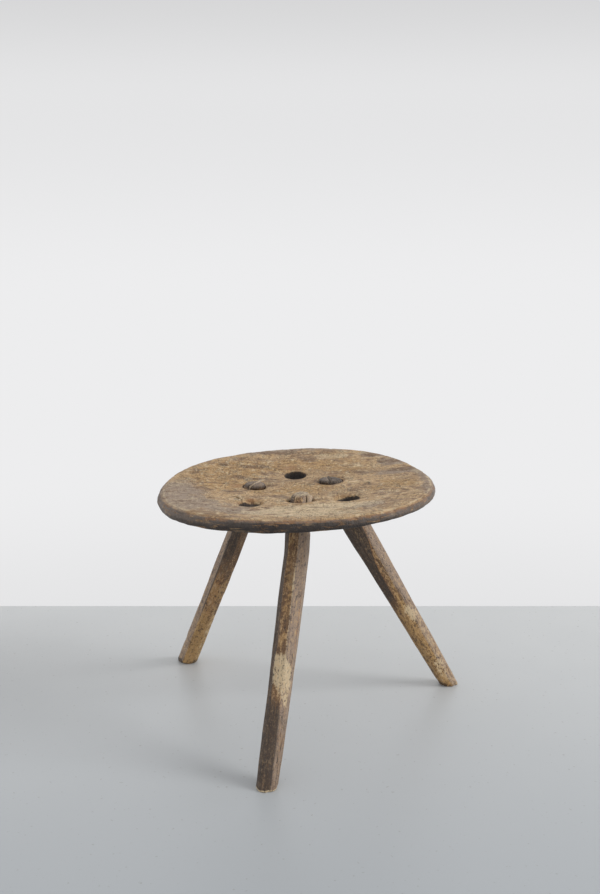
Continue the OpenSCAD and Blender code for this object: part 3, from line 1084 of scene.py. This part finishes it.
def make_wedges():
    """Both driven wedges and the shim beside the front tenon."""
    legs = {leg["name"]: leg for leg in LEGS}
    material = wedge_wood()
    made = []
    for (name, driven, azimuth), soot in zip(WEDGES, (0.15, 0.75)):
        leg = legs[driven]
        piece = wedge_block("split_" + name, leg, azimuth, 0, leg["proud"] * MM)
        mark_wedge(piece, leg, soot)
        made.append((piece, name))
    made.append((make_shim(legs["front_leg"]), "front_shim"))
    for piece, name in made:
        piece.data.materials.append(material)
        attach(piece, "root")
        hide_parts(name)


def shim_space(leg):
    """The cutter for the flat on the front tenon that the shim bears on."""
    place, up, out, side, _, _ = leg_frame(leg)
    rings = []
    for down in (-25, 36):
        corners = ((-20, SHIM_OFFSET), (20, SHIM_OFFSET), (20, 25), (-20, 25))
        rings.append(np.array([place - (up * down - out * x - side * y) * MM for x, y in corners]))
    return build("flat", *skin(rings))


def make_shim(leg):
    """The block that fills the front mortise beside its tenon."""
    place, up, out, side, _, _ = leg_frame(leg)
    rings = []
    for share in np.linspace(0, 1, 16):
        down = -5.5 * MM + 40 * MM * share
        ring = []
        for turn in np.linspace(0, 2 * math.pi, 40, endpoint=False):
            c, s = math.cos(turn), math.sin(turn)
            x = 7.5 * MM * math.copysign(abs(c) ** 0.4, c)
            y = 11.7 * MM + 2.7 * MM * math.copysign(abs(s) ** 0.4, s)
            ragged = 0.3 * MM * noise.noise(Vector((x * 260, y * 260, share * 7)))
            ring.append(place - up * down + out * (x + ragged) + side * (y + ragged))
        rings.append(np.array(ring))
    piece = build("split_front_shim", *skin(rings))
    mark_wedge(piece, leg, 0.0)
    return piece


# ---------------------------------------------------------------- stage


def floor_paint():
    """Smooth pale floor with a soft sheen, a little lighter towards its far edge as painted light, and faint
    specks.
    """
    stage = bpy.context.scene.stool_stage
    recipe = Recipe(bpy.data.materials.new("floor_paint"))
    place = recipe.make("ShaderNodeTexCoord", output="Object")
    away = recipe.make("ShaderNodeSeparateXYZ", None, {0: place}, output="Y")
    clouds = recipe.clouds(place, 9.0, 9.0, 50.0, 5)
    specks = recipe.clouds(place, 150.0, 150.0, 51.0, 2)
    colour = recipe.blend(
        stage.near_floor,
        # Painted light: the floor lightens towards its far edge
        (stage.far_floor, recipe.step(away, -0.75, 0.5)),
        (stage.near_floor, clouds * 0.12),
        (stage.speck, recipe.step(specks, 0.84, 0.98) * 0.35),
    )
    recipe.feed(recipe.shader.inputs["Base Color"], colour)
    recipe.shader.inputs["Roughness"].default_value = 0.42
    return recipe.owner


# How bright the room's light and the wall are, by height of direction from -1 to 1
ROOM_STOPS = ((-1, 0.8), (0.25, 1.1), (0.85, 0.45))
# The wall's stops paint shade on it, darker towards its top and its foot
WALL_STOPS = ((-0.38, 0.915), (-0.26, 1.0), (-0.12, 1.0), (0.03, 0.92), (0.12, 0.79))


def light_room():
    """Even light from all round, weaker overhead, in front of a wall that falls off at its top and foot as
    painted shade.
    """
    stage = bpy.context.scene.stool_stage
    bpy.context.scene.world = bpy.data.worlds.new("studio")
    recipe = Recipe(bpy.context.scene.world)
    direction = recipe.make("ShaderNodeTexCoord", output="Generated")
    height = recipe.make("ShaderNodeSeparateXYZ", None, {0: direction}, output="Z")
    level = recipe.make("ShaderNodeMath", {"operation": "MULTIPLY_ADD"}, {0: height, 1: 0.5, 2: 0.5})
    shades = []
    for bright in (ROOM_STOPS, WALL_STOPS):
        stops = [(0.5 + at / 2, [channel * shade for channel in stage.wall]) for at, shade in bright]
        shades.append(recipe.make("ShaderNodeValToRGB", {"stops": stops}, {0: level}))
    recipe.feed(recipe.shader.inputs["Color"], shades[0])
    recipe.shader.inputs["Strength"].default_value = stage.fill
    room = Wire(recipe, recipe.shader.outputs[0])
    wall = recipe.make("ShaderNodeBackground", None, {"Color": shades[1]})
    seen = recipe.make("ShaderNodeLightPath", output="Is Camera Ray")
    chosen = recipe.make("ShaderNodeMixShader", None, {0: seen, 1: room, 2: wall})
    recipe.feed(recipe.tree.nodes["World Output"].inputs["Surface"], chosen)


def make_stage():
    """Floor, light and camera."""
    stage = bpy.context.scene.stool_stage
    seat = Seat()
    back = seat.centre.y + stage.wall_distance
    corners = ((-3, -3), (3, -3), (3, back), (-3, back))
    floor = build("floor", [(x, y, 0) for x, y in corners], [(0, 1, 2, 3)])
    floor.data.materials.append(floor_paint())
    light_room()

    key = bpy.data.lights.new("key", "AREA")
    key.shape = "RECTANGLE"
    key.size, key.size_y = 3.8, 3.0
    key.energy = stage.key
    lamp = bpy.data.objects.new("key", key)
    bpy.context.scene.collection.objects.link(lamp)
    level, azimuth = math.cos(stage.key_elevation), stage.key_azimuth
    aim = -Vector((level * math.cos(azimuth), level * math.sin(azimuth), math.sin(stage.key_elevation)))
    lamp.location = Vector((0, 0, 0.2)) - aim * stage.key_distance
    lamp.rotation_euler = aim.to_track_quat("-Z", "Y").to_euler()

    camera = bpy.data.cameras.new("camera")
    camera.lens = 50
    camera.sensor_width = 36
    view = bpy.data.objects.new("camera", camera)
    bpy.context.scene.collection.objects.link(view)
    view.location = (seat.centre.x + 5.4 * MM, seat.centre.y - stage.camera_distance, stage.camera_height)
    view.rotation_euler = (math.pi / 2 - stage.camera_pitch, 0, 0)
    bpy.context.scene.camera = view
    bpy.context.scene.view_settings.view_transform = "Standard"


# ---------------------------------------------------------------- add-on


class STOOL_OT_seat(bpy.types.Operator):
    """Make the worn seat"""

    bl_idname = "stool.seat"
    bl_label = "Seat"

    def execute(self, context):
        piece = make_seat()
        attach(piece, "root")
        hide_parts("seat")
        return {"FINISHED"}


class STOOL_OT_legs(bpy.types.Operator):
    """Make the three hewn legs"""

    bl_idname = "stool.legs"
    bl_label = "Legs"

    def execute(self, context):
        make_legs()
        return {"FINISHED"}


class STOOL_OT_wedges(bpy.types.Operator):
    """Make the wedges and the shim"""

    bl_idname = "stool.wedges"
    bl_label = "Wedges"

    def execute(self, context):
        make_wedges()
        return {"FINISHED"}


class STOOL_OT_stage(bpy.types.Operator):
    """Make the floor, the light and the camera"""

    bl_idname = "stool.stage"
    bl_label = "Stage"

    def execute(self, context):
        make_stage()
        return {"FINISHED"}


OPERATORS = (STOOL_OT_seat, STOOL_OT_legs, STOOL_OT_wedges, STOOL_OT_stage)
SETTINGS = {
    "stool_seat": SeatSettings,
    "stool_legs": LegSettings,
    "stool_colours": WoodColours,
    "stool_stage": StageSettings,
}


class STOOL_PT_panel(bpy.types.Panel):
    """Lists the stool's pieces"""

    bl_idname = "STOOL_PT_panel"
    bl_label = "Three Leg Stool"
    bl_space_type = "VIEW_3D"
    bl_region_type = "UI"
    bl_category = "Stool"

    def draw(self, context):
        for operator in OPERATORS:
            self.layout.operator(operator.bl_idname)
        for name, group in SETTINGS.items():
            column = self.layout.column(align=True)
            for key in group.__annotations__:
                column.prop(getattr(context.scene, name), key)


def register():
    for group in SETTINGS.values():
        bpy.utils.register_class(group)
    for name, group in SETTINGS.items():
        setattr(bpy.types.Scene, name, bpy.props.PointerProperty(type=group))
    for shown in (*OPERATORS, STOOL_PT_panel):
        bpy.utils.register_class(shown)


def unregister():
    for shown in reversed((*OPERATORS, STOOL_PT_panel)):
        bpy.utils.unregister_class(shown)
    for name in SETTINGS:
        delattr(bpy.types.Scene, name)
    for group in reversed(SETTINGS.values()):
        bpy.utils.unregister_class(group)


def main():
    register()
    for operator in (bpy.ops.stool.seat, bpy.ops.stool.legs, bpy.ops.stool.wedges, bpy.ops.stool.stage):
        operator()


if __name__ == "__main__":
    main()
